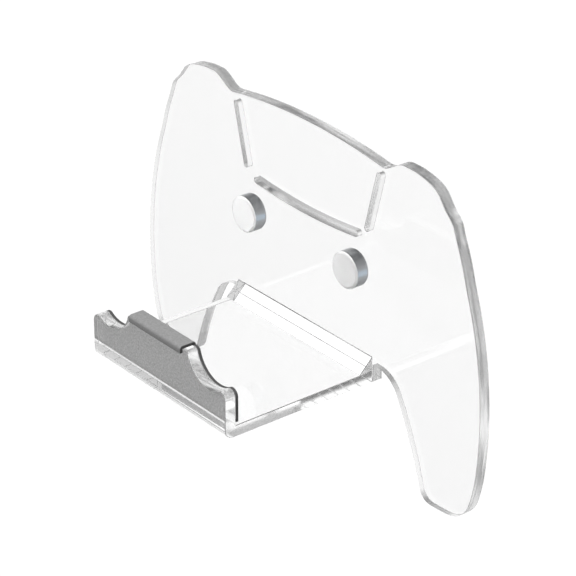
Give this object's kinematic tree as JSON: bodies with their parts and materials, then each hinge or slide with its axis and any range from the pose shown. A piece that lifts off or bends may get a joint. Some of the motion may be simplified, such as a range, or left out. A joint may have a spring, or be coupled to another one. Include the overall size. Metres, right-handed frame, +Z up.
{
  "type": "wall-mounted game controller stand",
  "caption": "Clear acrylic wall holder for a game controller: a controller-shaped back plate, a shelf bent up into a scalloped lip with a foam pad, and metal caps over the wall screws.",
  "frame": {"origin": "on the back plate's wall side, midway between the two screw holes", "axes": "+X to the right as seen from the front, +Y into the wall, +Z up"},
  "size_m": [0.16, 0.0606, 0.1057],
  "materials": {
    "clear_acrylic": "clear, flame-polished edges",
    "foam": "matt soft foam",
    "satin_steel": "fine turned satin"
  },
  "bodies": {
    "root": {"back_plate": "clear_acrylic", "shelf": "clear_acrylic", "corner_strip": "clear_acrylic", "lip_pad": "foam", "left_cap_base": "satin_steel", "right_cap_base": "satin_steel", "left_cap": "satin_steel", "right_cap": "satin_steel"}
  },
  "joints": []
}
